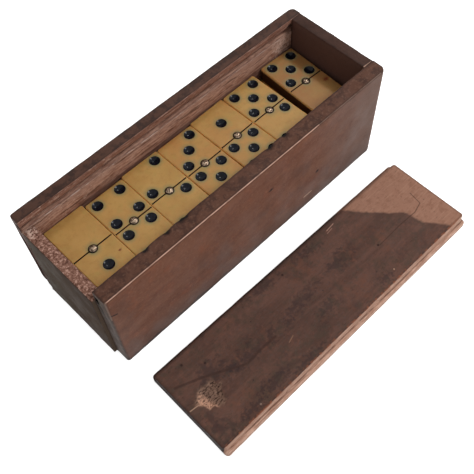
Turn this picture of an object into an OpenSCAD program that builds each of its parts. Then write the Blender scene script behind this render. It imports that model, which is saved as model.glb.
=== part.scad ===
// Sliding-lid storage box for a double-six set of dominoes, as it stands open:
// the lid lies on the table beside the box and the 28 dominoes fill it in four layers.
// X runs along the box to its high end wall, Y across it, and Z up. The origin is the centre of the underside.

/* [Dominoes] */
// Length of a domino
tile_l = 45; // [42:0.5:48]
// Width of a domino
tile_w = 22.3; // [20:0.1:24]
// Thickness of a domino
tile_t = 9.1; // [8:0.1:10]
// Corner radius of a domino, seen from above
tile_corner_r = 1; // [0.5:0.1:2]
// Radius of the long edges of a domino
tile_edge_r = 0.4; // [0.3:0.1:0.9]
// Diameter of a pip
pip_d = 5.6; // [4:0.1:5.8]
// Depth of a pip
pip_depth = 1.0; // [0.5:0.1:1.4]
// Distance from a half's centre to its outer pips, across the domino
pip_dx = 6.7; // [6:0.1:7]
// Distance from a half's centre to its outer pips, along the domino
pip_dy = 6.95; // [6.8:0.05:7.2]
// Width of the line scribed between the halves
line_w = 0.75; // [0.3:0.05:0.9]
// Depth of that line
line_depth = 0.5; // [0.2:0.1:1]

/* [Brass spinners] */
// Diameter of the domed head in the middle of a domino
dome_d = 4.6; // [3.6:0.1:5]
// Height of the dome above the domino's face
dome_h = 0.8; // [0.3:0.1:1]
// How deep the head is let into the face
dome_seat = 0.35; // [0.2:0.05:0.6]
// Diameter of the spinner's shank
shank_d = 1.6; // [1:0.1:2.2]
// Clearance of a spinner in its seat and its hole
seat_gap = 0.05; // [0.03:0.01:0.15]
// Length of the shank below the head
shank_l = 5; // [3:0.5:6.5]

/* [How the dominoes are packed] */
// Free length left over by a row of dominoes
row_slack = 10.6; // [9:0.1:16]
// Free width left over by the length of a domino
side_slack = 3.3; // [2:0.1:5]
// Free height between a dome and the domino that lies on it
stack_gap = 0.075; // [0.025:0.025:0.3]
// Height from the top domes up to the lid's runway
head_room = 9.3; // [4:0.1:15]

/* [Box] */
// Thickness of the front long wall
front_t = 8.6; // [7:0.1:11]
// Thickness of the back long wall
back_t = 6.6; // [6.2:0.1:10]
// Thickness of the high end wall, at the far end
far_t = 7; // [5:0.1:10]
// Thickness of the low end wall, which the lid passes over
near_t = 6.3; // [5:0.1:10]
// Thickness of the bottom board
bottom_t = 5.6; // [4:0.1:8]
// How far the bottom board is let into each wall
rebate = 2; // [1:0.1:3]
// Glue line between the boards
glue_line = 0.04; // [0.02:0.01:0.1]
// How far the front wall's near end stops short of the low end wall's face
front_setback = 1.7; // [0:0.1:3]
// Plan radius of the box's far corners
far_corner_r = 3.2; // [1:0.1:4.5]
// Plan radius of the box's near corners
near_corner_r = 1.6; // [0.5:0.1:3]
// Radius worn onto the outer top edges
rim_r = 1.1; // [0.4:0.1:2]
// Radius worn onto the inner top edges and the bottom edges
arris_r = 0.5; // [0.2:0.1:0.8]

/* [Lid and its grooves] */
// Height of the groove in each long wall
groove_h = 3.6; // [3:0.1:5]
// Depth of the groove into each long wall
groove_depth = 2.6; // [1.8:0.1:3.2]
// How far the groove runs on past the far wall's face
groove_overrun = 2.5; // [1:0.1:3.5]
// Height of the lip above the groove
lip_h = 4.1; // [3:0.1:6]
// Clearance of the lid's tongues in the height of the grooves
tongue_gap = 0.2; // [0.1:0.05:0.5]
// Clearance of each tongue from the bottom of its groove
tongue_play = 0.9; // [0.4:0.1:1.2]
// Clearance of the lid's top from each lip
lid_side_gap = 0.7; // [0.6:0.05:1.2]
// How far the lid's shoulders lean outwards to the tongues
shoulder_lean = 0.4; // [0:0.05:0.5]
// How far the closed lid's top lies below the rim
lid_top_gap = 0.1; // [0:0.05:0.5]
// Free length between the closed lid and the far wall
lid_end_gap = 1; // [0.3:0.1:2]
// Plan radius of the lid's corners
lid_corner_r = 2; // [0.5:0.1:4]
// Width of the finger scoop in the lid's top
scoop_w = 13.2; // [8:0.1:16]
// Depth of the finger scoop
scoop_depth = 1.5; // [0.8:0.1:2.5]
// Distance from the lid's near end to the middle of the scoop
scoop_in = 13.1; // [9:0.1:20]
// How far the scoop lies from the lid's middle line, away from the box
scoop_aside = 1.5; // [0:0.1:4]

/* [Where the lid lies] */
// Gap on the table between the box and the lid's tongue
lid_away = 15.4; // [8:0.1:60]
// Shift of the lid along the box
lid_shift = -0.6; // [-10:0.1:10]
// Turn of the lid on the table, in degrees
lid_yaw = -0.75; // [-4:0.05:4]

/* [Hidden] */
$fn = 64;
columns = 7;
layers = 4;
cut = 1;

cavity_l = columns * tile_w + row_slack;
cavity_w = tile_l + side_slack;
layer_pitch = tile_t + dome_h + stack_gap;
runway_z = bottom_t + layers * layer_pitch + head_room;
box_l = near_t + cavity_l + far_t;
box_w = front_t + cavity_w + back_t;
box_h = runway_z + groove_h + lip_h;
x_near = -box_l / 2;
x_far = box_l / 2;
x_in_near = x_near + near_t;
x_in_far = x_far - far_t;
y_front = -box_w / 2;
y_back = box_w / 2;
y_in_front = y_front + front_t;
y_in_back = y_back - back_t;
y_mid = (y_in_front + y_in_back) / 2;

tongue_t = groove_h - tongue_gap;
lid_t = groove_h + lip_h - lid_top_gap;
lid_l = near_t + cavity_l - lid_end_gap;
lid_top_w = cavity_w - 2 * lid_side_gap;
lid_w = cavity_w + 2 * (groove_depth - tongue_play);

// The dominoes of the top layer from the low end, as [pips of the back half, pips of the front half]
top_pips = [[0, 1], [4, 4], [2, 2], [3, 5], [1, 5], [5, 2], [5, 0]];
// Their turn in degrees, and their place across the box as a share of the free play
top_turn = [0, -0.3, -0.3, 0.2, 1, 0.5, -2.7];
top_place = [0.95, -0.2, 0.25, 0, 0.55, 0.5, 0.5];
// The row's free length in percent: before the first domino, between neighbours, and after the last
gap_percent = [15.6, 2.8, 2.4, 3.8, 5.2, 4.2, 45.7, 20.3];

function total(list, count) = count == 0 ? 0 : list[count - 1] + total(list, count - 1);
function column_x(c) = x_in_near + total(gap_percent, c + 1) / 100 * row_slack + (c + 0.5) * tile_w;
function is_on_top(a, b) = len([for (p = top_pips) if (p == [a, b] || p == [b, a]) p]) > 0;
lower_pips = [for (a = [0:6]) for (b = [a:6]) if (!is_on_top(a, b)) [a, b]];

function pips_at(layer, c) = layer == layers - 1 ? top_pips[c] : lower_pips[layer * columns + c];
function turn_at(layer, c) = layer == layers - 1 ? top_turn[c] : 0;
function place_at(layer, c) = layer == layers - 1 ? top_place[c] : 0;
function tile_place(layer, c) = [
    column_x(c),
    y_mid + place_at(layer, c) * side_slack / 2,
    bottom_t + stack_gap + layer * layer_pitch
];
function pair_name(p) = str(min(p), "_", max(p));
function has_own_spinner(layer) = layer > 0;

wall_nodes = ["bottom_board", "front_wall", "back_wall", "low_end_wall", "high_end_wall", "sliding_lid"];
tile_nodes = [for (k = [0:layers - 1]) for (c = [0:columns - 1]) str("domino_", pair_name(pips_at(k, c)))];
spinner_nodes = [
    for (k = [0:layers - 1]) if (has_own_spinner(k))
        for (c = [0:columns - 1]) str("spinner_", pair_name(pips_at(k, c)))
];

// A rectangle whose four corners can each be rounded, in the order near-front, far-front, far-back, near-back
module rounded_rect(x0, x1, y0, y1, r) {
    corners = [[x0, y0, 1, 1], [x1, y0, -1, 1], [x1, y1, -1, -1], [x0, y1, 1, -1]];
    difference() {
        translate([x0, y0]) square([x1 - x0, y1 - y0]);
        for (i = [0:3])
            if (r[i] > 0)
                translate([corners[i][0], corners[i][1]])
                    scale([corners[i][2], corners[i][3]])
                        difference() {
                            translate([-cut, -cut]) square(r[i] + cut);
                            translate([r[i], r[i]]) circle(r[i]);
                        }
    }
}

// A drawing in Y and Z carried along X
module along_x(x0, x1) {
    translate([x0, 0, 0]) rotate([90, 0, 90]) linear_extrude(x1 - x0) children();
}

// A drawing in X and Z carried along Y
module along_y(y0, y1) {
    translate([0, y1, 0]) rotate([90, 0, 0]) linear_extrude(y1 - y0) children();
}

// A long wall that stands on the inner face at y = 0 and is t thick towards +Y
module long_wall(t, x0, x1, near_r, far_r) {
    difference() {
        intersection() {
            along_x(x0, x1) rounded_rect(0, t, 0, box_h, [0, arris_r, rim_r, arris_r]);
            linear_extrude(box_h) rounded_rect(x0, x1, 0, t, [0, 0, far_r, near_r]);
        }
        along_x(x0 - cut, x_in_far + groove_overrun)
            translate([-cut, runway_z]) square([groove_depth + cut, groove_h]);
        along_x(x_in_near - rebate, x_in_far + rebate)
            translate([-cut, -cut]) square([rebate + cut, bottom_t + cut]);
    }
}

module front_wall() {
    color("#5d3a2c")
        translate([0, y_in_front, 0]) mirror([0, 1, 0])
            long_wall(front_t, x_near + front_setback, x_far, near_corner_r, far_corner_r);
}

module back_wall() {
    color("#6b4636")
        translate([0, y_in_back, 0]) long_wall(back_t, x_near, x_far, near_corner_r, far_corner_r);
}

// An end wall h high, between the long walls, with its outer face at x = 0 and t thick towards +X
module end_wall(t, h, outer_r) {
    difference() {
        along_y(y_in_front + glue_line, y_in_back - glue_line)
            rounded_rect(0, t, 0, h, [arris_r, 0, arris_r, outer_r]);
        along_y(y_in_front - cut, y_in_back + cut)
            translate([t - rebate, -cut]) square([rebate + cut, bottom_t + cut]);
    }
}

module low_end_wall() {
    color("#4a3d36") translate([x_near, 0, 0]) end_wall(near_t, runway_z, arris_r);
}

module high_end_wall() {
    color("#3a2620") translate([x_far, 0, 0]) mirror([1, 0, 0]) end_wall(far_t, box_h, rim_r);
}

module bottom_board() {
    color("#4b352b")
        translate([x_in_near - rebate + glue_line, y_in_front - rebate + glue_line, 0])
            cube([
                cavity_l + 2 * (rebate - glue_line),
                cavity_w + 2 * (rebate - glue_line),
                bottom_t - glue_line
            ]);
}

// The lid's end view: a tongue along each side and shoulders that lean out to them
module lid_profile() {
    shoulder_w = lid_top_w + 2 * shoulder_lean;
    translate([-lid_w / 2, 0]) square([lid_w, tongue_t]);
    polygon([
        [-shoulder_w / 2, 0], [shoulder_w / 2, 0], [shoulder_w / 2, tongue_t],
        [lid_top_w / 2, lid_t], [-lid_top_w / 2, lid_t], [-shoulder_w / 2, tongue_t]
    ]);
}

module lid_shape() {
    scoop_r = (scoop_w * scoop_w / 4 + scoop_depth * scoop_depth) / (2 * scoop_depth);
    difference() {
        intersection() {
            along_x(-lid_l / 2, lid_l / 2) lid_profile();
            linear_extrude(lid_t)
                rounded_rect(-lid_l / 2, lid_l / 2, -lid_w / 2, lid_w / 2, [for (i = [0:3]) lid_corner_r]);
        }
        translate([-lid_l / 2 + scoop_in, -scoop_aside, lid_t - scoop_depth + scoop_r]) sphere(scoop_r);
    }
}

module sliding_lid() {
    color("#4f382d")
        translate([lid_shift, y_front - lid_away - lid_w / 2, 0]) rotate([0, 0, lid_yaw]) lid_shape();
}

// The pips of one half as steps of -1, 0 or 1 from its centre
function pip_steps(n) = concat(
    n % 2 == 1 ? [[0, 0]] : [],
    n >= 2 ? [[1, 1], [-1, -1]] : [],
    n >= 4 ? [[-1, 1], [1, -1]] : [],
    n == 6 ? [[1, 0], [-1, 0]] : []
);

module pip_cuts(n, y) {
    pip_r = (pip_d * pip_d / 4 + pip_depth * pip_depth) / (2 * pip_depth);
    for (s = pip_steps(n))
        translate([s[0] * pip_dx, y + s[1] * pip_dy, tile_t - pip_depth + pip_r]) sphere(pip_r);
}

// A domino lying on z = 0, with the pips p[0] in its back half and p[1] in its front half
module domino_shape(p) {
    half = tile_l / 4;
    edges = [for (i = [0:3]) tile_edge_r];
    difference() {
        intersection() {
            linear_extrude(tile_t)
                rounded_rect(
                    -tile_w / 2, tile_w / 2, -tile_l / 2, tile_l / 2, [for (i = [0:3]) tile_corner_r]
                );
            along_x(-tile_w / 2, tile_w / 2) rounded_rect(-tile_l / 2, tile_l / 2, 0, tile_t, edges);
            along_y(-tile_l / 2, tile_l / 2) rounded_rect(-tile_w / 2, tile_w / 2, 0, tile_t, edges);
        }
        pip_cuts(p[0], half);
        pip_cuts(p[1], -half);
        translate([-tile_w / 2 - cut, -line_w / 2, tile_t - line_depth])
            cube([tile_w + 2 * cut, line_w, line_depth + cut]);
        translate([0, 0, tile_t - dome_seat]) cylinder(d = dome_d + 2 * seat_gap, h = dome_seat + cut);
        translate([0, 0, tile_t - dome_seat - shank_l - seat_gap])
            cylinder(d = shank_d + 2 * seat_gap, h = shank_l + cut);
    }
}

// The brass spinner of a domino that lies on z = 0
module spinner_shape() {
    head_h = dome_h + dome_seat - seat_gap;
    dome_r = (dome_d * dome_d / 4 + dome_h * dome_h) / (2 * dome_h);
    translate([0, 0, tile_t - dome_seat + seat_gap]) {
        intersection() {
            cylinder(d = dome_d, h = head_h);
            translate([0, 0, head_h - dome_r]) sphere(dome_r);
        }
        translate([0, 0, -shank_l]) cylinder(d = shank_d, h = shank_l + seat_gap);
    }
}

module domino(layer, c) {
    translate(tile_place(layer, c)) rotate([0, 0, turn_at(layer, c)]) {
        color("#b08a52") domino_shape(pips_at(layer, c));
        if (!has_own_spinner(layer)) color("#b08a52") spinner_shape();
    }
}

module spinner(layer, c) {
    color("#c9a55a") translate(tile_place(layer, c)) rotate([0, 0, turn_at(layer, c)]) spinner_shape();
}

bottom_board();
front_wall();
back_wall();
low_end_wall();
high_end_wall();
sliding_lid();
for (k = [0:layers - 1], c = [0:columns - 1]) {
    domino(k, c);
    if (has_own_spinner(k))
        spinner(k, c);
}
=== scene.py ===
# Looks of the domino storage box: worn mahogany boards, a loose lid, yellow dominoes with brass spinners
import math

import bmesh
import bpy
from mathutils import Matrix, Vector, noise
from mathutils.geometry import delaunay_2d_cdt


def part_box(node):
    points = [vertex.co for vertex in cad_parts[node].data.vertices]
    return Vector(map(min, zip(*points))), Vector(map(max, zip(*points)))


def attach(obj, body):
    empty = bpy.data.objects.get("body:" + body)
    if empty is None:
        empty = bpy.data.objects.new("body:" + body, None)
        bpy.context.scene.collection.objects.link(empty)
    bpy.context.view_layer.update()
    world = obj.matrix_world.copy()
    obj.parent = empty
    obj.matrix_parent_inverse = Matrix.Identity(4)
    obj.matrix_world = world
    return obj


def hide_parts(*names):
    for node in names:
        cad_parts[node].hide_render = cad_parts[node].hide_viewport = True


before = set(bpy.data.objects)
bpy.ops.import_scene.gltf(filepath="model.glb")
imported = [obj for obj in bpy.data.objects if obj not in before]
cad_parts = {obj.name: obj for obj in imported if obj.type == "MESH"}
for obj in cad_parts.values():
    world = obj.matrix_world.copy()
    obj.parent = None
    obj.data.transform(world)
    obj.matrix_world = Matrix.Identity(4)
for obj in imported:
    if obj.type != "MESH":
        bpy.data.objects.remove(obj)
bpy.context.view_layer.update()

# Lengths below are in millimetres, and meshes are scaled to metres when they are made
MM = 0.001
# Usual spacing of the points along a board, how far wear and darkening reach from an edge, and how far dirt
# and painted shade reach from a hollow corner
MESH_STEP = 1.7
EDGE_REACH = 2.0
DIRT_AND_SHADE_REACH = 0.7
# Edges turned by more than this, in degrees, are shaded as sharp
SHARP_ANGLE = 35


def corners_of(node):
    """Lowest and highest corner of a CAD node, in millimetres."""
    low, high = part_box(node)
    return Vector(low) / MM, Vector(high) / MM


BACK_LOW, BACK_HIGH = corners_of("back_wall")
FRONT_LOW, FRONT_HIGH = corners_of("front_wall")
LOW_END_LOW, LOW_END_HIGH = corners_of("low_end_wall")
HIGH_END_LOW, HIGH_END_HIGH = corners_of("high_end_wall")
BOARD_LOW, BOARD_HIGH = corners_of("bottom_board")
LID_LOW, LID_HIGH = corners_of("sliding_lid")

# The box and its grooves
BOX_H = BACK_HIGH.z
RUNWAY_Z = LOW_END_HIGH.z
BOTTOM_T = BOARD_HIGH.z
REBATE = 2.0
GROOVE_H = 3.6
GROOVE_DEPTH = 2.6
GROOVE_END_X = HIGH_END_LOW.x + 2.5
FAR_CORNER_R = 3.2
NEAR_CORNER_R = 1.6
RIM_R = 1.1
ARRIS_R = 0.5
# Nicks worn into the front wall's inner top edge, as (place along X, half length)
RIM_NICKS = ((-59.9, 1.3), (-47.7, 1.6), (-38.1, 2.4), (15.4, 2.0), (25.4, 1.3))

# Marks on the front wall's outside: dents as (place, half sizes), and the points of a scratch and a crack
FRONT_DENTS = (((8.7, -31.7, 42.9), (2.4, 1.2, 1.3)), ((42.9, -31.7, 24.5), (1.8, 1, 1.4)))
FRONT_SCRATCH = ((34.2, -31.7, 10.1), (39.7, -31.7, 10))
FRONT_CRACK = ((-88.2, -31.6, 49.9), (-86.5, -31.7, 49.4), (-84.7, -31.7, 48.4))

# The lid
LID_L = 172.0
LID_TONGUE_T = 3.4
LID_T = LID_HIGH.z
LID_TOP_W = 46.9
LID_SHOULDER_W = 47.7
LID_W = 51.7
LID_YAW = -0.75
LID_CORNER_R = 2.0
LID_MIDDLE = (LID_LOW + LID_HIGH) / 2
SCOOP_X = -72.9
SCOOP_Y = -1.5
SCOOP_R = 6.4
SCOOP_DEPTH = 1.4

# Bruise-dark stain, a dark spot, and the bare wood of a fresh scratch
STAIN = (44, 36, 38)
SPOT = (50, 34, 30)
BARE = (196, 158, 132)
# The lid's marks, placed from its middle: stains as (place, half sizes, turn), scratches as
# (points, width, colour) and spots as (place, radius, colour)
LID_STAINS = [
    ((-42, 0), (22, 4.5), -3), ((-4, -9), (8, 3), 12), ((29, -18.8), (5, 3), 0), ((-48, -17.5), (12, 4), 0),
    ((-57, 1.5), (7, 3.5), -25), ((-64, -19.5), (12, 3), 3), ((-28, -21), (12, 2.5), 0),
    ((-18, 21), (12, 3.5), 0), ((12, 19), (11, 3), -8), ((-66, 8), (9, 6), 20), ((-10, 2), (14, 4), 6),
    ((-80, -16), (7, 8), 0), ((20, 4), (10, 5), 0),
]
LID_SCRATCHES = [
    ([(-82.5, 12.3), (-71, 7.8), (-58, 1.3), (-51, -2.4), (-42, -1.8), (-32, -2)], 1.3, (62, 43, 37)),
    ([(76.9, 4.9), (75.6, -2.8), (69.4, -4.5), (57.7, -4), (41.3, -4.5)], 0.5, (60, 38, 30)),
    ([(28.6, 20.2), (34, 20.8)], 0.5, (184, 142, 124)),
    ([(27.6, 18.9), (31.5, 19.4)], 0.4, (166, 126, 110)),
    ([(-29.4, -8.8), (-25.6, -7.6)], 0.4, (150, 112, 88)),
    ([(-80, -1.1), (-84.9, -0.5)], 0.45, BARE),
]
LID_SPOTS = [
    ((40.7, -3.9), 0.9, (42, 26, 22)), ((-6, 18.5), 1.0, SPOT), ((-64.5, 11.7), 0.9, SPOT),
    ((-73, 18.5), 0.9, SPOT), ((35.6, -18.4), 0.5, BARE),
    ((-59.9, -20.4), 0.7, (136, 112, 100)),
]
# Where the far end's paler patch starts, as shares across the lid (0 to 1) and along it (of 90 mm)
LID_PALE_FROM = [
    (0, 0.86), (0.108, 0.823), (0.274, 0.75), (0.484, 0.73), (0.586, 0.664), (0.7, 0.606), (0.792, 0.559),
    (0.882, 0.52), (0.964, 0.484), (1, 0.47),
]

# The dominoes and their spinners
TILE_L = 45.0
TILE_W = 22.3
TILE_T = 9.1
TILE_EDGE_R = 0.4
TILE_CORNER_R = 1.0
# Depths below its face at which a domino's side, painted lighter above them as painted light, begins to be
# darker with grime and painted shade, and is so in full
PAINTED_LIGHT_SIDE = 0.9
GRIME_AND_SHADE_SIDE = 2
PIP_R = 2.8
PIP_DEPTH = 1.0
PIP_DX = 6.7
PIP_DY = 6.95
LINE_W = 0.75
LINE_DEPTH = 0.5
SEAT_R = 2.35
SEAT_DEPTH = 0.35
DOME_R = 2.3
DOME_H = 0.8
SHANK_R = 0.8
SHANK_L = 5.0

# The top layer from the low end as (back half, front half), with each domino's turn in degrees and its tint
TOP_PIPS = [(0, 1), (4, 4), (2, 2), (3, 5), (1, 5), (5, 2), (5, 0)]
TOP_TURN = [0, -0.3, -0.3, 0.2, 1, 0.5, -2.7]
# A tint of 1, on the far domino, also paints it darker as painted shade
TOP_TINT = [0.3, 0.35, 0.25, 0.8, 0.6, 0.3, 1]
# Reddish stains in the top layer, as (place, half sizes)
RESIN_STAINS = [((78.1, -4.6, 44.7), (2.3, 1.7, 2)), ((-62.7, -6.5, 44.7), (1.2, 0.8, 2))]


def noise_at(point, size, seed=0):
    """Smooth noise from 0 to 1 whose features are about size millimetres."""
    value = noise.noise(Vector(point) / size + Vector((seed * 17.3, seed * 5.1, seed * 9.7)))
    return min(1, max(0, 0.5 + 0.75 * value))


# Meshes

def put_in_scene(name, data):
    """A new object in the scene."""
    made = bpy.data.objects.new(name, data)
    bpy.context.scene.collection.objects.link(made)
    return made


def mesh_of(name, made, materials):
    """A mesh from a bmesh in millimetres, with its materials."""
    bmesh.ops.scale(made, vec=(MM, MM, MM), verts=made.verts)
    mesh = bpy.data.meshes.new(name)
    made.to_mesh(mesh)
    made.free()
    for material in materials:
        mesh.materials.append(material)
    return mesh


def make_piece(name, made, materials, body, replaced):
    """Turns a bmesh into a piece that rides on a body and stands for CAD nodes."""
    mesh = mesh_of(name, made, materials)
    mesh.shade_smooth()
    mesh.set_sharp_from_angle(angle=math.radians(SHARP_ANGLE))
    piece = put_in_scene(name, mesh)
    weighted = piece.modifiers.new("weighted_normals", "WEIGHTED_NORMAL")
    weighted.keep_sharp = True
    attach(piece, body)
    if replaced:
        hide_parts(*replaced)


def new_mesh(*layers):
    """An empty bmesh whose points hold values on these layers."""
    made = bmesh.new()
    for name in layers:
        made.verts.layers.float.new(name)
    return made


def add_point(made, place, **values):
    """A point with values on the mesh's layers."""
    vertex = made.verts.new(place)
    for name, value in values.items():
        vertex[made.verts.layers.float[name]] = value
    return vertex


def skin(made, rings):
    """Faces between neighbouring rings of points. A ring of one point is a tip."""
    for a, b in zip(rings, rings[1:]):
        count = max(len(a), len(b))
        for i in range(count):
            j = (i + 1) % count
            corners = (a[i % len(a)], a[j % len(a)], b[j % len(b)], b[i % len(b)])
            made.faces.new(list(dict.fromkeys(corners)))


def corner_arc(point, before, after, radius):
    """The points that round one corner of an outline."""
    back, on = before - point, after - point
    radius = min(radius, 0.45 * back.length, 0.45 * on.length)
    if radius < 0.05:
        return [point] * 2
    towards, away = back.normalized(), on.normalized()
    centre = point + (towards + away) * radius
    steps = 5 if radius > 0.8 else 3
    angles = [math.pi / 2 * i / steps for i in range(steps + 1)]
    return [centre - away * radius * math.cos(a) - towards * radius * math.sin(a) for a in angles]


def nearness(point, places, reach):
    """1 at the nearest of the places, falling to 0 beyond reach."""
    return max((math.exp(-((point - p).length / reach) ** 2) for p in places), default=0)


def outline(corners, nominal, step):
    """A closed outline of square corners (u, v, radius), as each point with its nearness to an outer corner
    and its nearness to a hollow corner. The hollow nearness is darkened later as dirt and painted shade. Its
    sides are divided as the nominal outline's are, so that a board's sections all have the same number of
    points."""
    points = [Vector(c[:2]) for c in corners]
    whole = [Vector(c[:2]) for c in nominal]
    count = len(points)
    arcs, convex, hollow = [], [], []
    for i in range(count):
        before, after = whole[i - 1], whole[(i + 1) % count]
        turns_left = (whole[i] - before).cross(after - whole[i]) > 0
        (convex if turns_left else hollow).append(points[i])
        arc = corner_arc(points[i], points[i - 1], points[(i + 1) % count], nominal[i][2])
        full = corner_arc(whole[i], before, after, nominal[i][2])
        arcs.append(arc if len(arc) == len(full) else [points[i]] * len(full))
    line = []
    for i, arc in enumerate(arcs):
        start, end = arc[-1], arcs[(i + 1) % count][0]
        parts = max(1, math.ceil((whole[(i + 1) % count] - whole[i]).length / step))
        line += arc + [start.lerp(end, k / parts) for k in range(1, parts)]
    return [(p, nearness(p, convex, EDGE_REACH), nearness(p, hollow, DIRT_AND_SHADE_REACH)) for p in line]


def quarter_round(distance, radius):
    """How far a rounded edge draws in at a distance from its end."""
    if distance >= radius:
        return 0
    return radius - math.sqrt(radius ** 2 - (radius - distance) ** 2)


def stations(length, corner_r, step, cuts=()):
    """Places along a board: dense where its ends are rounded, even between, and in pairs at the cuts."""
    rounded = [corner_r * (1 - math.cos(math.pi / 2 * k / 6)) for k in range(7)]
    small = [ARRIS_R * 0.1, ARRIS_R * 0.4]
    middle = max(1, math.ceil((length - 2 * corner_r) / step))
    plain = [corner_r + (length - 2 * corner_r) * k / middle for k in range(1, middle)]
    ends = rounded + small
    pairs = [cut + side for cut in cuts for side in (-0.02, 0.02)]
    return sorted(ends + plain + pairs + [length - s for s in ends])


def drawn_in(points, inset):
    """The outline with its points moved inwards by inset."""
    if inset <= 0:
        return points
    moved = []
    for i, (point, edge, dirt) in enumerate(points):
        along = points[(i + 1) % len(points)][0] - points[i - 1][0]
        normal = Vector((along.y, -along.x)).normalized() if along.length > 0 else Vector((0, 0))
        moved.append((point - normal * inset, edge, dirt))
    return moved


def sweep(section, places, place):
    """A closed board: section(s) carried along the places. place(s, u, v) gives a point in the row frame."""
    made = new_mesh("edge", "dirt")
    length = places[-1]
    rings = []
    for s in places:
        at_end = math.exp(-(min(s, length - s) / EDGE_REACH) ** 2)
        rings.append([
            add_point(made, place(s, point.x, point.y), edge=max(edge, at_end), dirt=dirt)
            for point, edge, dirt in section(s)
        ])
    skin(made, rings)
    made.faces.new(rings[0])
    made.faces.new(list(reversed(rings[-1])))
    bmesh.ops.recalc_face_normals(made, faces=made.faces)
    return made


def wear(made, seed, amount=0.25, dents=()):
    """Rubs the edges down unevenly and presses in dents (place, radius, depth), always inwards."""
    made.normal_update()
    edge_layer = made.verts.layers.float["edge"]
    for vertex in made.verts:
        rough = 0.6 * noise_at(vertex.co, 9, seed) + 0.4 * noise_at(vertex.co, 2.6, seed + 1)
        depth = amount * vertex[edge_layer] ** 2 * rough
        for place, radius, dent in dents:
            away = (vertex.co - Vector(place)).length / radius
            depth += dent * math.exp(-away ** 2) if away < 2.5 else 0
        vertex.co -= vertex.normal * depth
        vertex.co.z = max(0, vertex.co.z)


def long_wall(thickness, near_x, inner_y, outwards, seed, dents=()):
    """A long wall with the lid's groove and the bottom board's rebate. outwards is its way in Y, 1 or -1."""
    length = BACK_HIGH.x - near_x
    rebate_from = LOW_END_HIGH.x - REBATE - near_x
    rebate_to = HIGH_END_LOW.x + REBATE - near_x
    groove_to = GROOVE_END_X - near_x

    def corners(groove, rebate):
        top = RUNWAY_Z + GROOVE_H
        return [
            (rebate, 0, 0), (thickness, 0, ARRIS_R), (thickness, BOX_H, RIM_R), (0, BOX_H, ARRIS_R),
            (0, top, 0.3), (groove, top, 0), (groove, RUNWAY_Z, 0), (0, RUNWAY_Z, 0.3),
            (0, BOTTOM_T, 0), (rebate, BOTTOM_T, 0),
        ]

    nominal = corners(GROOVE_DEPTH, REBATE)

    def section(s):
        groove = GROOVE_DEPTH if s < groove_to else 0.02
        rebate = REBATE if rebate_from < s < rebate_to else 0.02
        inset = quarter_round(min(s, length - s), ARRIS_R)
        return drawn_in(outline(corners(groove, rebate), nominal, MESH_STEP), inset)

    def place(s, u, v):
        corner_r = NEAR_CORNER_R if s < length / 2 else FAR_CORNER_R
        outer = max(0, (u - GROOVE_DEPTH) / (thickness - GROOVE_DEPTH))
        drop = quarter_round(min(s, length - s), corner_r) * outer
        return near_x + s, inner_y + outwards * (u - drop), v

    cuts = (rebate_from, rebate_to, groove_to)
    made = sweep(section, stations(length, FAR_CORNER_R, MESH_STEP, cuts), place)
    wear(made, seed, dents=dents)
    return made


def end_wall(low, high, outwards, rim_r, seed):
    """An end wall between the long walls. outwards is its way in X, 1 or -1."""
    thickness, height, length = high.x - low.x, high.z, high.y - low.y
    outer_x = high.x if outwards > 0 else low.x
    corners = [
        (0, 0, ARRIS_R), (thickness - REBATE, 0, 0), (thickness - REBATE, BOTTOM_T, 0),
        (thickness, BOTTOM_T, 0), (thickness, height, ARRIS_R), (0, height, rim_r),
    ]
    line = outline(corners, corners, MESH_STEP)

    def place(s, u, v):
        return outer_x - outwards * u, low.y + s, v

    made = sweep(lambda s: line, stations(length, ARRIS_R, MESH_STEP), place)
    wear(made, seed, amount=0.3)
    return made


def bottom_board(seed):
    """The board under the dominoes."""
    low, high = BOARD_LOW, BOARD_HIGH
    corners = [(low.y, 0, 0.2), (high.y, 0, 0.2), (high.y, high.z, 0.2), (low.y, high.z, 0.2)]
    line = outline(corners, corners, 3)
    made = sweep(
        lambda s: line, stations(high.x - low.x, ARRIS_R, 3), lambda s, u, v: (low.x + s, u, v)
    )
    wear(made, seed, amount=0.1)
    return made


def lid_places(length):
    """Places along the lid, close together at the finger scoop."""
    places = stations(length, LID_CORNER_R, MESH_STEP)
    scoop = SCOOP_X + length / 2
    places = [s for s in places if abs(s - scoop) > SCOOP_R + 1.5]
    steps = 34
    reach = SCOOP_R + 1.4
    return sorted(places + [scoop - reach + 2 * reach * k / steps for k in range(steps + 1)])


def scoop_depth_at(x, y):
    """How deep the torn finger scoop is at a place on the lid's top."""
    angle = math.atan2(y - SCOOP_Y, x - SCOOP_X)
    ragged = SCOOP_R * (0.78 + 0.36 * noise_at((3 * math.cos(angle), 3 * math.sin(angle), 0), 1.6, 4))
    ragged += 1.6 * (noise_at((x / 1.6, y, 0), 1.1, 8) - 0.5)
    away = math.hypot(x - SCOOP_X, y - SCOOP_Y) / ragged
    if away >= 1.15:
        return 0
    bowl = SCOOP_DEPTH * min(1, max(0, (1.15 - away) / 0.5)) * (1 - 0.35 * away ** 2)
    fibres = 0.45 * noise_at((x / 2.5, y, 0), 0.7, 6) + 0.3 * noise_at((x, y, 0), 1.3, 7)
    return max(0, bowl * (0.55 + 0.75 * fibres))


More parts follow.
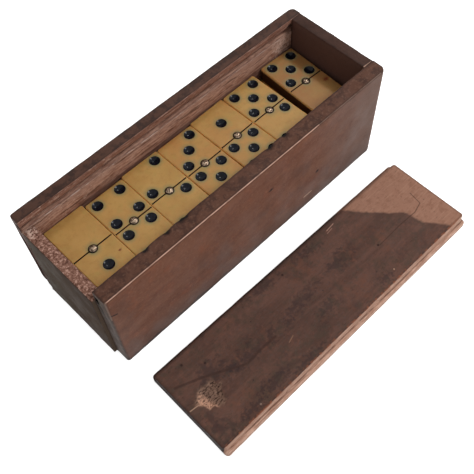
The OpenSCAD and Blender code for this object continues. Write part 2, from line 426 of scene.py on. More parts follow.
def lid(seed):
    """The lid, built along its own length and then laid on the table."""
    half = LID_L / 2
    corners = [
        (-LID_W / 2, 0, 0.3), (LID_W / 2, 0, 0.3), (LID_W / 2, LID_TONGUE_T, 0.3),
        (LID_SHOULDER_W / 2, LID_TONGUE_T, 0), (LID_TOP_W / 2, LID_T, 0.45),
        (-LID_TOP_W / 2, LID_T, 0.45), (-LID_SHOULDER_W / 2, LID_TONGUE_T, 0),
        (-LID_W / 2, LID_TONGUE_T, 0.3),
    ]
    line = outline(corners, corners, 0.7)

    def section(s):
        return drawn_in(line, quarter_round(min(s, LID_L - s), 0.45))

    def place(s, u, v):
        drop = quarter_round(min(s, LID_L - s), LID_CORNER_R) * max(0, abs(u) - 18) / (LID_W / 2 - 18)
        x = s - half
        depth = scoop_depth_at(x, u) if v > LID_T - 0.05 else 0
        return x, u - math.copysign(drop, u), v - depth

    made = sweep(section, lid_places(LID_L), place)
    torn_layer = made.verts.layers.float.new("torn")
    for vertex in made.verts:
        if vertex.co.z > LID_TONGUE_T:
            vertex[torn_layer] = min(1, scoop_depth_at(vertex.co.x, vertex.co.y) / 0.35)
    wear(made, seed, amount=0.2)
    turn = Matrix.Rotation(math.radians(LID_YAW), 4, "Z")
    shift = Matrix.Translation((LID_MIDDLE.x, LID_MIDDLE.y, 0))
    bmesh.ops.transform(made, matrix=shift @ turn, verts=made.verts)
    return made


def pip_steps(n):
    """The pips of one half as steps of -1, 0 or 1 from its centre."""
    steps = [(0, 0)] if n % 2 else []
    steps += [(1, 1), (-1, -1)] if n >= 2 else []
    steps += [(-1, 1), (1, -1)] if n >= 4 else []
    steps += [(1, 0), (-1, 0)] if n == 6 else []
    return steps


def pip_places(pips):
    """The centres of a domino's pips, back half first."""
    halves = ((pips[0], TILE_L / 4), (pips[1], -TILE_L / 4))
    return [Vector((i * PIP_DX, y + j * PIP_DY)) for n, y in halves for i, j in pip_steps(n)]


def tile_outline():
    """A domino's outline seen from above as (point, outward normal), with points on the scribed line."""
    x, y = TILE_W / 2 - TILE_CORNER_R, TILE_L / 2 - TILE_CORNER_R
    centres = [Vector(c) for c in ((x, -y), (x, y), (-x, y), (-x, -y))]
    line = []
    for i, centre in enumerate(centres):
        for k in range(5):
            angle = math.pi / 2 * (i - 1 + k / 4)
            normal = Vector((math.cos(angle), math.sin(angle)))
            line.append((centre + normal * TILE_CORNER_R, normal))
        start, normal = line[-1]
        line += side_points(start, centres[(i + 1) % 4] + normal * TILE_CORNER_R)
    return line


def side_points(start, end):
    """Points inside a straight side of a domino, with its normal. Long sides cross the scribed line."""
    along = (end - start).normalized()
    normal = Vector((along.y, -along.x))
    length = (end - start).length
    parts = 14 if length > TILE_W else 7
    places = [length * k / parts for k in range(1, parts)]
    if length > TILE_W:
        middle = length / 2
        places = [p for p in places if abs(p - middle) > 1]
        places += [middle - LINE_W / 2, middle, middle + LINE_W / 2]
    return [(start + along * p, normal) for p in sorted(places)]


def face_height(point, pips):
    """Height of a domino's face below its top, for its pips, its scribed line and its spinner's seat."""
    if point.length < SEAT_R - 0.005:
        return -SEAT_DEPTH
    for pip in pips:
        away = (point - pip).length
        if away < PIP_R - 0.005:
            ball = (PIP_R ** 2 + PIP_DEPTH ** 2) / (2 * PIP_DEPTH)
            return ball - PIP_DEPTH - math.sqrt(ball ** 2 - away ** 2)
    if abs(point.y) < LINE_W / 2 - 0.005:
        return -LINE_DEPTH * (1 - abs(point.y) / (LINE_W / 2))
    return 0


def halo_at(away):
    """How grimy a domino's face is at a distance outside a pip."""
    return 1 if away <= 0 else math.exp(-(away / 1.1) ** 2)


def ring_of(centre, radius, count):
    return [
        centre + Vector((math.cos(2 * math.pi * k / count), math.sin(2 * math.pi * k / count))) * radius
        for k in range(count)
    ]


def face_mesh(rim, pips):
    """Triangles of a domino's face inside its rim: (points, faces)."""
    points = list(rim)
    edges = [(k, (k + 1) % len(rim)) for k in range(len(rim))]

    def add(loop, closed=True):
        first = len(points)
        points.extend(loop)
        last = len(loop) if closed else len(loop) - 1
        edges.extend((first + k, first + (k + 1) % len(loop)) for k in range(last))

    for pip in pips:
        for share in (1.38, 1.22, 1.1, 1, 0.9, 0.75, 0.5, 0.25):
            add(ring_of(pip, PIP_R * share, 28))
        points.append(pip.copy())
    for radius in (SEAT_R * 1.4, SEAT_R * 1.2, SEAT_R, SEAT_R - 0.02):
        add(ring_of(Vector((0, 0)), radius, 28))
    half = TILE_W / 2 - TILE_EDGE_R
    for y in (-LINE_W / 2, 0, LINE_W / 2):
        add([Vector((-half + 2 * half * k / 14, y)) for k in range(15)], closed=False)
    points += [Vector((x * 1.5, y * 1.5)) for x in range(-7, 8) for y in range(-14, 15)]
    made = delaunay_2d_cdt(points, edges, [], 0, 1e-4)
    return made[0], made[2]


def rim_levels():
    """Levels of a domino's sides from top to bottom as (inset, height, side). side is 0 on the faces, 1
    beside them, where the sides are painted lighter as painted light, and 2 where they are painted darker
    with grime and painted shade."""
    steps = 4
    rounded = []
    for k in range(steps + 1):
        angle = math.pi / 2 * k / steps
        inset = TILE_EDGE_R * (1 - math.sin(angle))
        rounded.append((inset, TILE_T - TILE_EDGE_R * (1 - math.cos(angle)), k / steps))
    depths = ((PAINTED_LIGHT_SIDE, 1), (GRIME_AND_SHADE_SIDE, 2), (TILE_T - GRIME_AND_SHADE_SIDE, 2), (TILE_T - PAINTED_LIGHT_SIDE, 1))
    sides = [(0, TILE_T - depth, side) for depth, side in depths]
    return rounded + sides + [(inset, TILE_T - z, side) for inset, z, side in reversed(rounded)]


def domino_sides(made, tint):
    """A domino's sides and its underside. Gives the ring of points round its face."""
    rings = []
    for inset, z, side in rim_levels():
        ring = []
        for point, normal in tile_outline():
            spot = point - normal * inset
            on_line = abs(point.y) < 0.01 and abs(point.x) > TILE_W / 4
            height = min(z, TILE_T - LINE_DEPTH) if on_line else z
            edge = 0.3 if side >= 1 else 1 if 0.5 < z < TILE_T - 0.02 else 0.55
            ring.append(add_point(made, (spot.x, spot.y, height), edge=edge, side=side, tint=tint))
        rings.append(ring)
    skin(made, rings[::-1])
    made.faces.new(rings[-1])
    return rings[0]


def domino_face(made, ring, pips, tint):
    """A domino's face inside its ring, with its pips, its line and its spinner's seat."""
    points, faces = face_mesh([Vector(v.co[:2]) for v in ring], pips)
    top = []
    for point in points:
        halos = [halo_at((point - pip).length - PIP_R) for pip in pips]
        halo = max(halos + [halo_at(point.length - SEAT_R)])
        height = TILE_T + face_height(point, pips)
        top.append(add_point(made, (point.x, point.y, height), halo=halo, tint=tint))
    for face in faces:
        middle = sum((points[i] for i in face), Vector((0, 0))) / len(face)
        cell = made.faces.new([top[i] for i in face])
        if any((middle - pip).length < PIP_R for pip in pips):
            cell.material_index = 1
        elif middle.length < SEAT_R or abs(middle.y) < LINE_W / 2:
            cell.material_index = 2


def domino(pips, tint, seed):
    """A domino on z = 0, with material 0 on its body, 1 in its pips and 2 in its line and seat."""
    made = new_mesh("edge", "halo", "side", "tint")
    ring = domino_sides(made, tint)
    domino_face(made, ring, pip_places(pips), tint)
    bmesh.ops.remove_doubles(made, verts=made.verts, dist=0.003)
    bmesh.ops.recalc_face_normals(made, faces=made.faces)
    made.normal_update()
    edge_layer = made.verts.layers.float["edge"]
    for vertex in made.verts:
        depth = 0.12 * vertex[edge_layer] * noise_at(vertex.co, 4, seed)
        if depth > 0.001:
            vertex.co -= vertex.normal * depth
    return made


def spinner():
    """The brass pin of a domino on z = 0: a domed head and its shank."""
    made = new_mesh("edge")
    base = TILE_T - SEAT_DEPTH + 0.05
    ball = (DOME_R ** 2 + DOME_H ** 2) / (2 * DOME_H)
    top = TILE_T + DOME_H
    profile = [(0, base - SHANK_L), (SHANK_R * 0.7, base - SHANK_L), (SHANK_R, base - SHANK_L + 0.3)]
    profile += [(SHANK_R, base), (DOME_R - 0.15, base), (DOME_R, base + 0.12), (DOME_R, TILE_T)]
    for share in (0.96, 0.88, 0.76, 0.6, 0.42, 0.22):
        radius = DOME_R * share
        profile.append((radius, top - ball + math.sqrt(ball ** 2 - radius ** 2)))
    profile.append((0, top))
    rings = []
    for radius, z in profile:
        edge = min(1, max(0, (radius / DOME_R - 0.6) / 0.4))
        points = ring_of(Vector((0, 0)), radius, 32 if radius > 0 else 1)
        rings.append([add_point(made, (p.x, p.y, z), edge=edge) for p in points])
    skin(made, rings)
    bmesh.ops.recalc_face_normals(made, faces=made.faces)
    return made


# Materials

def linear(red, green, blue):
    """A colour written as sRGB from 0 to 255, in Blender's linear values."""
    def one(value):
        value /= 255
        return value / 12.92 if value <= 0.04045 else ((value + 0.055) / 1.055) ** 2.4
    return one(red), one(green), one(blue), 1


class Surface:
    """A material's node tree and its colour so far, with short calls for the nodes that the finishes share.
    Sizes are in millimetres."""

    def __init__(self, name):
        self.material = bpy.data.materials.new(name)
        self.material.use_nodes = True
        self.tree = self.material.node_tree
        self.shader = self.tree.nodes["Principled BSDF"]
        self.space = self.add("ShaderNodeTexCoord").outputs["Object"]

    def add(self, kind, **settings):
        node = self.tree.nodes.new(kind)
        for name, value in settings.items():
            setattr(node, name, value)
        return node

    def put(self, socket, value):
        if isinstance(value, bpy.types.NodeSocket):
            self.tree.links.new(value, socket)
        else:
            socket.default_value = value

    def feed(self, node, **values):
        """Sets or links a node's inputs by their names."""
        for name, value in values.items():
            self.put(node.inputs[name], value)

    def seen_from(self, place, turn, sizes=(1, 1, 1)):
        """Coordinates about a place, turned about Z by degrees and divided by sizes."""
        node = self.add("ShaderNodeMapping", vector_type="TEXTURE")
        rotation = (0, 0, math.radians(turn))
        self.feed(node, Vector=self.space, Location=Vector(place) * MM, Rotation=rotation, Scale=sizes)
        return node.outputs["Vector"]

    def per_mm(self, x, y, z):
        """Coordinates in millimetres, times these factors."""
        node = self.add("ShaderNodeMapping")
        self.feed(node, Vector=self.space, Scale=(x / MM, y / MM, z / MM))
        return node.outputs["Vector"]

    def axis(self, letter):
        """One coordinate in millimetres."""
        node = self.add("ShaderNodeSeparateXYZ")
        self.feed(node, Vector=self.per_mm(1, 1, 1))
        return node.outputs[letter]

    def vector(self, kind, a, b, output="Vector"):
        node = self.add("ShaderNodeVectorMath", operation=kind)
        self.put(node.inputs[0], a)
        self.put(node.inputs["Scale"] if kind == "SCALE" else node.inputs[1], b)
        return node.outputs[output]

    def noise(self, vector, detail=3.0, roughness=0.55, distortion=0.0):
        node = self.add("ShaderNodeTexNoise")
        self.feed(node, Vector=vector, Scale=1, Detail=detail, Roughness=roughness, Distortion=distortion)
        return node.outputs["Fac"]

    def cloud(self, size, detail=3.0, roughness=0.55):
        """Noise of one size in every direction."""
        return self.noise(self.per_mm(1 / size, 1 / size, 1 / size), detail, roughness)

    def painted(self, name):
        """A value stored on the mesh's points."""
        return self.add("ShaderNodeAttribute", attribute_name=name).outputs["Fac"]

    def math(self, kind, a, b=0.0):
        node = self.add("ShaderNodeMath", operation=kind)
        self.put(node.inputs[0], a)
        self.put(node.inputs[1], b)
        return node.outputs[0]

    def both(self, *shares):
        """The product of several shares."""
        product = shares[0]
        for share in shares[1:]:
            product = self.math("MULTIPLY", product, share)
        return product

    def ramp(self, value, low, high, start=0.0, end=1.0):
        """The value from low to high, turned smoothly into start to end."""
        node = self.add("ShaderNodeMapRange", interpolation_type="SMOOTHSTEP")
        names = ("Value", "From Min", "From Max", "To Min", "To Max")
        for name, given in zip(names, (value, low, high, start, end)):
            self.put(node.inputs[name], given)
        return node.outputs["Result"]

    def mix(self, share, a, b):
        node = self.add("ShaderNodeMix", data_type="RGBA")
        self.put(node.inputs[0], share)
        self.put(node.inputs[6], a)
        self.put(node.inputs[7], b)
        return node.outputs[2]

    def ground(self, share, a, b):
        """Starts the colour as a mix of two."""
        self.colour = self.mix(share, linear(*a), linear(*b))

    def tint(self, colour, *shares):
        """Lays a colour over what is there, by the product of the shares."""
        self.colour = self.mix(self.both(*shares), self.colour, linear(*colour))

    def facing(self, letter):
        """One coordinate of the surface's own normal."""
        node = self.add("ShaderNodeSeparateXYZ")
        self.feed(node, Vector=self.add("ShaderNodeTexCoord").outputs["Normal"])
        return node.outputs[letter]

    def towards(self, letter, sign=1):
        """1 where the surface faces along an axis, and 0 where it faces elsewhere."""
        return self.ramp(self.facing(letter), 0.45 * sign, 0.85 * sign)

    def stroke(self, points, width):
        """1 on a line through points, falling to 0 at its sides."""
        here, nearest = self.per_mm(1, 1, 1), None
        for a, b in zip(points, points[1:]):
            way = Vector(b) - Vector(a)
            past = self.vector("SUBTRACT", here, a)
            share = self.vector("DOT_PRODUCT", past, way / way.length_squared, "Value")
            clamp = self.add("ShaderNodeClamp")
            self.feed(clamp, Value=share)
            foot = self.vector("SCALE", way, clamp.outputs[0])
            away = self.vector("DISTANCE", past, foot, "Value")
            nearest = away if nearest is None else self.math("MINIMUM", nearest, away)
        return self.ramp(nearest, width * 0.75, width * 0.2)

    def blot(self, place, sizes, turn=0, rough=0.5):
        """1 in the middle of an uneven patch of half sizes along X, Y and Z, falling to 0 outside it."""
        node = self.add("ShaderNodeVectorMath", operation="LENGTH")
        self.put(node.inputs[0], self.seen_from(place, turn, [size * MM for size in sizes]))
        uneven = self.ramp(self.cloud(min(sizes) / 1.6, 3, 0.6), 0.2, 0.8, -rough, rough)
        return self.ramp(self.math("ADD", node.outputs["Value"], uneven), 1.05, 0.2)

    def spots(self, cell, share, size):
        """Small round spots, in a share of the cells of a scattered grid."""
        node = self.add("ShaderNodeTexVoronoi")
        self.feed(node, Vector=self.per_mm(1 / cell, 1 / cell, 1 / cell), Scale=1)
        split = self.add("ShaderNodeSeparateColor")
        self.put(split.inputs[0], node.outputs["Color"])
        chosen = self.math("LESS_THAN", split.outputs[0], share)
        return self.both(chosen, self.ramp(node.outputs["Distance"], size / cell, 0.5 * size / cell))

    def curve(self, value, points):
        """The height at a value, from 0 to 1, of straight lines between points."""
        node = self.add("ShaderNodeFloatCurve")
        line = node.mapping.curves[0]
        line.points[0].location, line.points[1].location = points[0], points[-1]
        for x, y in points[1:-1]:
            line.points.new(x, y)
        for point in line.points:
            point.handle_type = "VECTOR"
        node.mapping.update()
        self.feed(node, Value=value)
        return node.outputs[0]

    def bump(self, height, distance, strength=1.0, under=None):
        node = self.add("ShaderNodeBump")
        self.feed(node, Strength=strength, Distance=distance * MM, Height=height)
        if under is not None:
            self.feed(node, Normal=under)
        return node.outputs["Normal"]

    def finish(self, roughness, normal=None, **plain):
        self.put(self.shader.inputs["Base Color"], self.colour)
        self.put(self.shader.inputs["Roughness"], roughness)
        if normal is not None:
            self.put(self.shader.inputs["Normal"], normal)
        for name, value in plain.items():
            self.shader.inputs[name.replace("_", " ")].default_value = value
        return self.material


class Wood(Surface):
    """Old waxed mahogany with its grain along an axis, painted from the broad figure down to the pores."""

    def __init__(self, name, along, dark, mid, light, streaks=0.3, place=None, turn=0):
        super().__init__(name)
        self.along = along
        if place:
            self.space = self.seen_from(place, turn)
        figure = self.grain(9, 50, 4, 0.6, 0.5)
        self.fibres = self.grain(0.7, 9, 3, 0.65)
        self.pores = self.grain(0.4, 2.8, 2, 0.6)
        self.grit = self.cloud(1.1, 3, 0.7)
        self.ground(self.ramp(figure, 0.32, 0.68), dark, mid)
        self.tint(light, self.ramp(self.fibres, 0.42, 0.78, 0, streaks))
        self.tint(dark, self.ramp(self.cloud(5, 3, 0.6), 0.5, 0.75, 0, 0.35))

    def grain(self, fine, long, detail, roughness, distortion=0.0):
        """Noise drawn out along the grain."""
        scales = [1 / long if axis == self.along else 1 / fine for axis in "XYZ"]
        return self.noise(self.per_mm(*scales), detail, roughness, distortion)

    def mottle(self, share, size, colour, amount, low=0.5, high=0.68):
        """Lays a colour over patches of one size."""
        self.tint(colour, share, self.ramp(self.cloud(size, 4, 0.7), low, high, 0, amount))

    def raw(self, share, pale, dull):
        """Unwaxed fibrous wood, paler and drier."""
        streaks = self.grain(0.8, 6, 4, 0.75)
        self.tint(dull, share)
        self.tint(pale, share, self.ramp(streaks, 0.4, 0.62, 0, 0.9))

    def age(self, pore=0.5, edge=0.5, dirt=0.7):
        """Pores, grit, edges darkened as grime and painted shade, and hollow corners darkened as dirt and
        painted shade.
        """
        self.deep = self.ramp(self.pores, 0.6, 0.72)
        self.tint((40, 26, 21), self.deep, pore)
        self.tint((46, 32, 28), self.ramp(self.grit, 0.55, 0.8, 0, 0.3))
        # Edges and hollow corners are darkened as grime together with painted shade
        self.tint((44, 32, 28), self.ramp(self.painted("edge"), 0.5, 1), edge)
        self.tint((28, 19, 16), self.ramp(self.painted("dirt"), 0.35, 1), dirt)

    def done(self, gloss=0.5, shine=0.12):
        """The sheen and the relief."""
        roughness = self.ramp(self.cloud(12, 3, 0.6), 0.3, 0.7, gloss, gloss + 0.2)
        height = self.math("SUBTRACT", self.both(self.fibres, 0.6), self.deep)
        normal = self.bump(self.grit, 0.1, 0.35, self.bump(height, 0.12, 0.5))
        return self.finish(roughness, normal, Specular_IOR_Level=shine)


def front_wall_wood():
    wood = Wood("front_wall_mahogany", "X", (112, 73, 58), (126, 85, 67), (146, 104, 84), 0.1)
    x, z = wood.axis("X"), wood.axis("Z")
    outside, up, near = wood.towards("Y", -1), wood.towards("Z"), wood.towards("X", -1)
    wood.mottle(outside, 7, (140, 84, 62), 0.45)
    wood.mottle(outside, 1.5, (148, 108, 90), 0.4)
    wood.mottle(outside, 2.6, (84, 56, 46), 0.4, 0.55, 0.72)
    # Painted sheen: the outer face turns greyer towards the far end
    wood.tint((116, 94, 85), outside, wood.ramp(x, 30, 88, 0, 0.8))
    wood.tint((84, 66, 60), outside, wood.ramp(z, 20, 0, 0, 0.6))
    wood.mottle(outside, 18, (92, 66, 56), 0.45)
    wood.tint((81, 54, 43), up, 0.85)
    wood.mottle(up, 5, (58, 39, 33), 0.7, 0.45, 0.6)
    wood.mottle(up, 1.4, (112, 82, 68), 0.5, 0.52, 0.66)
    wood.raw(wood.towards("Y"), (150, 112, 90), (104, 74, 60))
    wood.tint((84, 66, 56), near)
    wood.mottle(near, 2.4, (56, 46, 41), 0.8, 0.45, 0.6)
    for place, sizes in FRONT_DENTS:
        wood.tint(STAIN, wood.blot(place, sizes, 0, 0.3))
    wood.tint(BARE, wood.stroke(FRONT_SCRATCH, 0.9), 0.8)
    wood.tint(STAIN, wood.stroke(FRONT_CRACK, 0.9))
    uneven = wood.ramp(wood.cloud(6, 3, 0.6), 0.2, 0.8, -2.5, 2.5)
    foot = wood.ramp(wood.math("ADD", z, uneven), 4, 2)
    wood.tint((52, 40, 37), outside, foot, wood.ramp(x, 80, -60, 0.25, 0.8))
    wood.age(pore=0.35, edge=wood.ramp(near, 0, 1, 0.5, 0.1))
    front_wall_wear(wood)
    return wood.done(shine=0.1)


def front_wall_wear(wood):
    """The front wall's dirty near joint, the nicks in its rim painted near-black as the shade inside them,
    and its outer arris, rubbed pale and with a painted highlight.
    """
    wood.tint((34, 28, 26), wood.blot((-88.3, -25.3, 52), (1, 1.2, 3), 0, 0.5))
    wood.tint((122, 118, 104), wood.blot((-88.3, -26.4, 55), (1, 0.9, 4), 0, 0.5), 0.7)
    # The nicks are painted near-black, as painted shade inside the chips
    for x, half in RIM_NICKS:
        place = (x, FRONT_HIGH.y - 0.8, BOX_H - 0.3)
        wood.tint((12, 7, 6), wood.blot(place, (half * 1.9, 2.3, 2.8), 0, 0.2))
    # The pale line on the outer top arris is partly rubbed wood and partly a painted highlight, bright to
    # the middle and faint beyond
    near, middle, far = [(x, FRONT_LOW.y + 0.3, BOX_H - 0.3) for x in (-87.6, 41, 86)]
    broken = wood.ramp(wood.grain(0.8, 5, 3, 0.7), 0.34, 0.5, 0.35, 1)
    wood.tint((206, 164, 144), wood.stroke([near, middle], 0.55), broken)
    faint = wood.both(wood.stroke([middle, far], 0.5), 0.4)
    corner = wood.stroke([near, (-87.9, -31.3, 60.5), (-87.9, -31.3, 46)], 1)
    wood.tint((164, 138, 124), wood.math("MAXIMUM", faint, wood.both(corner, 0.5)), broken)


def back_wall_wood():
    wood = Wood("back_wall_mahogany", "X", (82, 54, 44), (112, 76, 62), (134, 96, 78))
    z, up, inside = wood.axis("Z"), wood.towards("Z"), wood.towards("Y", -1)
    rim = wood.both(up, wood.ramp(z, 60, 61.5))
    wood.tint((73, 51, 42), rim, 0.8)
    wood.mottle(rim, 7, (48, 35, 31), 0.75, 0.45, 0.6)
    wood.raw(inside, (202, 160, 140), (150, 107, 88))
    back_wall_inside(wood, inside, wood.axis("X"), z)
    wood.raw(wood.both(up, wood.ramp(z, 58, 55)), (196, 156, 136), (146, 106, 90))
    wood.age(edge=wood.ramp(inside, 0, 1, 0.35, 0.1), dirt=0.3)
    back_wall_groove(wood)
    return wood.done()


def back_wall_inside(wood, inside, x, z):
    """The back wall's inner face: its worn lip, its streaks and torn fibres, and its darkening low down,
    grime with painted contact shadow where the dominoes meet it.
    """
    wood.tint((128, 86, 71), inside, wood.ramp(z, 57, 58.6), 0.75)
    wood.tint((178, 140, 124), inside, wood.ramp(z, 50, 53), wood.ramp(z, 57, 56), 0.5)
    wood.tint((86, 54, 44), inside, wood.ramp(wood.grain(1.5, 22, 3, 0.7), 0.55, 0.62, 0, 0.75))
    wood.tint((196, 160, 144), inside, wood.ramp(wood.grain(1.2, 12, 3, 0.75), 0.44, 0.38, 0, 0.7))
    wood.tint((62, 38, 32), inside, wood.ramp(wood.grain(0.7, 9, 3, 0.7), 0.6, 0.68, 0, 0.85))
    torn = wood.ramp(wood.grain(0.7, 2.4, 4, 0.8), 0.56, 0.66)
    wood.tint((222, 190, 172), inside, torn, wood.ramp(x, -20, -60, 0.3, 1))
    # Grime and painted contact shadow darken the face low down, towards the dominoes
    wood.tint((120, 80, 65), inside, wood.ramp(z, 50, 46, 0, 0.4))
    wood.tint((62, 34, 27), inside, wood.ramp(z, 45.6, 44.8, 0, 0.5))
    patch = wood.blot((76, 25.1, 50), (9, 3, 9), 0, 0.5)
    wood.tint((216, 184, 168), patch, wood.ramp(wood.cloud(1.2, 3, 0.7), 0.36, 0.56), 0.85)


def back_wall_groove(wood):
    """The painted shade line under the lip, the pale edge of the groove's floor, and a painted shadow where
    the groove ends at the far wall.
    """
    broken = wood.grain(0.8, 6, 3, 0.7)
    # A dark line painted as the shade under the groove's lip
    under_lip_shade = wood.stroke([(-88, 25.2, 58.4), (84, 25.2, 58.4)], 1)
    wood.tint((44, 26, 22), under_lip_shade, wood.ramp(broken, 0.42, 0.56, 0.3, 1))
    runway = wood.stroke([(-88, 25.2, RUNWAY_Z), (80, 25.2, RUNWAY_Z)], 0.9)
    fading = wood.ramp(wood.axis("X"), 60, -20, 0.3, 0.7)
    wood.tint((224, 200, 188), runway, fading, wood.ramp(broken, 0.5, 0.44))
    # A near-black blot painted as the shadow in the groove's far end
    wood.tint((24, 14, 12), wood.blot((81.3, 25.1, 59), (2.2, 2, 1.8), 0, 0.4))


def low_end_wood():
    wood = Wood("low_end_mahogany", "Y", (68, 54, 44), (75, 60, 49), (82, 66, 55), 0.15)
    up, inside = wood.towards("Z"), wood.towards("X")
    wood.tint((58, 43, 35), wood.ramp(wood.cloud(20, 3, 0.6), 0.45, 0.7, 0, 0.6))
    wood.mottle(wood.ramp(wood.axis("Y"), -5, 20), 5, (86, 80, 68), 0.5, 0.4, 0.6)
    wood.raw(inside, (150, 112, 90), (104, 74, 60))
    speck = wood.cloud(1.2, 3, 0.75)
    wood.tint((132, 95, 81), up)
    wood.tint((188, 150, 134), up, wood.ramp(speck, 0.52, 0.62, 0, 0.9))
    wood.tint((78, 50, 42), up, wood.ramp(speck, 0.48, 0.38, 0, 0.85))
    pale = wood.both(wood.blot((-87.5, 23, 54.8), (4, 3.5, 3), 0, 0.8), wood.ramp(speck, 0.42, 0.55))
    wood.tint((208, 178, 162), pale, 0.8)
    wood.age(pore=0.15, edge=wood.ramp(up, 0, 1, 0.4, 0.12))
    # The narrow face towards -Y is painted lighter, as painted light where the front wall shades it
    wood.tint((116, 98, 84), wood.towards("Y", -1), 0.9)
    return wood.done(shine=0.02)


def high_end_wood():
    wood = Wood("high_end_mahogany", "Y", (58, 39, 32), (71, 48, 40), (82, 58, 49))
    up = wood.towards("Z")
    wood.tint((96, 69, 60), wood.towards("X", -1), 0.85)
    wood.mottle(up, 6, (50, 36, 31), 0.6, 0.45, 0.62)
    wood.age(edge=0.35)
    wood.tint((178, 142, 124), wood.stroke([(82.6, -22.9, 62.4), (88.4, -23.4, 62.4)], 0.9), 0.9)
    return wood.done(shine=0.1)


def board_wood():
    wood = Wood("board_mahogany", "X", (70, 48, 40), (96, 70, 56), (116, 88, 70))
    wood.age()
    return wood.done()


def lid_wood():
    """The lid's own marks, placed from its middle along its length and width."""
    middle = (LID_MIDDLE.x, LID_MIDDLE.y, 0)
    wood = Wood("lid_mahogany", "X", (79, 56, 48), (99, 70, 60), (118, 87, 74), 0.2, middle, LID_YAW)
    wood.mottle(1, 2.2, (120, 80, 66), 0.4, 0.52, 0.7)
    wood.mottle(1, 1.3, (88, 74, 72), 0.4, 0.52, 0.68)
    wood.mottle(1, 14, (106, 68, 53), 0.5, 0.55, 0.7)
    x, y = wood.axis("X"), wood.axis("Y")
    for place, sizes, turn in LID_STAINS:
        wood.tint(STAIN, wood.blot((*place, LID_T), (*sizes, 8), turn, 0.9), 0.5)
    wood.mottle(1, 9, (56, 44, 42), 0.45, 0.5, 0.72)
    wood.mottle(1, 5, (72, 62, 52), 0.5, 0.45, 0.7)
    across = wood.math("DIVIDE", wood.math("ADD", y, 25), 50)
    edge_at = wood.both(wood.curve(across, LID_PALE_FROM), 90)
    shift = wood.ramp(wood.cloud(3, 3, 0.6), 0.2, 0.8, -0.5, 0.5)
    pale = wood.ramp(wood.math("SUBTRACT", wood.math("ADD", x, shift), edge_at), -1.1, 1.1)
    wood.tint((158, 116, 96), pale, 0.86)
    wood.mottle(pale, 4, (128, 88, 70), 0.55, 0.48, 0.66)
    wood.tint((178, 138, 116), pale, wood.ramp(wood.fibres, 0.5, 0.7, 0, 0.4))
    return lid_marks(wood)


def lid_marks(wood):
    """The lid's scratches and spots, its near end face darkened as painted shade, its bare front edge and
    its torn finger scoop.
    """
    top = LID_T - 0.05
    for points, width, colour in LID_SCRATCHES:
        wood.tint(colour, wood.stroke([(x, y, top) for x, y in points], width), 0.7)
    for place, size, colour in LID_SPOTS:
        wood.tint(colour, wood.blot((*place, top), (size, size, 2), 0, 0.25))
    wood.tint(STAIN, wood.spots(7, 0.3, 0.5), 0.7)
    wood.age(edge=0.4)
    # The near end face is painted dark, as painted shade
    wood.tint((42, 32, 28), wood.towards("X", -1), 0.8)
    lid_front_edge(wood, -LID_TOP_W / 2, top)
    lid_scoop(wood)
    return wood.done(shine=0.08)


def lid_front_edge(wood, edge, top):
    low = wood.ramp(wood.axis("Z"), LID_T - 0.6, LID_T - 1.2)
    front = wood.ramp(wood.axis("Y"), edge + 0.6, edge)
    bare = wood.both(front, wood.math("MAXIMUM", wood.ramp(wood.facing("Y"), -0.4, -0.7), low))
    wood.raw(bare, (214, 178, 158), (178, 138, 118))
    wood.tint((112, 78, 64), bare, wood.ramp(wood.grain(0.5, 20, 3, 0.6), 0.52, 0.6, 0, 0.5))
    # A dark line in the inner corner of the step, as dirt and painted shade
    step_corner_line = wood.stroke([(x, -LID_SHOULDER_W / 2, LID_TONGUE_T) for x in (-86, 86)], 1)
    wood.tint((92, 62, 50), step_corner_line, wood.ramp(wood.grain(1, 9, 3, 0.7), 0.42, 0.56, 0.1, 0.7))
    arris = wood.stroke([(x, edge + 0.4, top) for x in (-84, 84)], 1.3)
    wood.tint((140, 84, 60), arris, wood.ramp(wood.cloud(2.5, 3, 0.7), 0.45, 0.6, 0, 0.7))


def lid_scoop(wood):
    """Torn fibres, light on the scoop's side towards the lid's end."""
    fibres = wood.noise(wood.per_mm(1 / 2.6, 1 / 0.8, 1), 3, 0.7, 1.6)
    torn = wood.painted("torn")
    wood.tint((104, 80, 68), torn)
    left = wood.math("SUBTRACT", SCOOP_X, wood.axis("X"))
    low_side = wood.math("SUBTRACT", SCOOP_Y, wood.axis("Y"))
    light = wood.ramp(wood.math("ADD", left, wood.both(low_side, 0.2)), 1, 4, 0.12, 1)
    wood.tint((196, 150, 124), torn, light, wood.ramp(fibres, 0.4, 0.52))
    wood.tint((150, 122, 108), torn, wood.ramp(fibres, 0.56, 0.64, 0, 0.5))
    wood.tint((42, 28, 23), torn, wood.ramp(fibres, 0.48, 0.42))


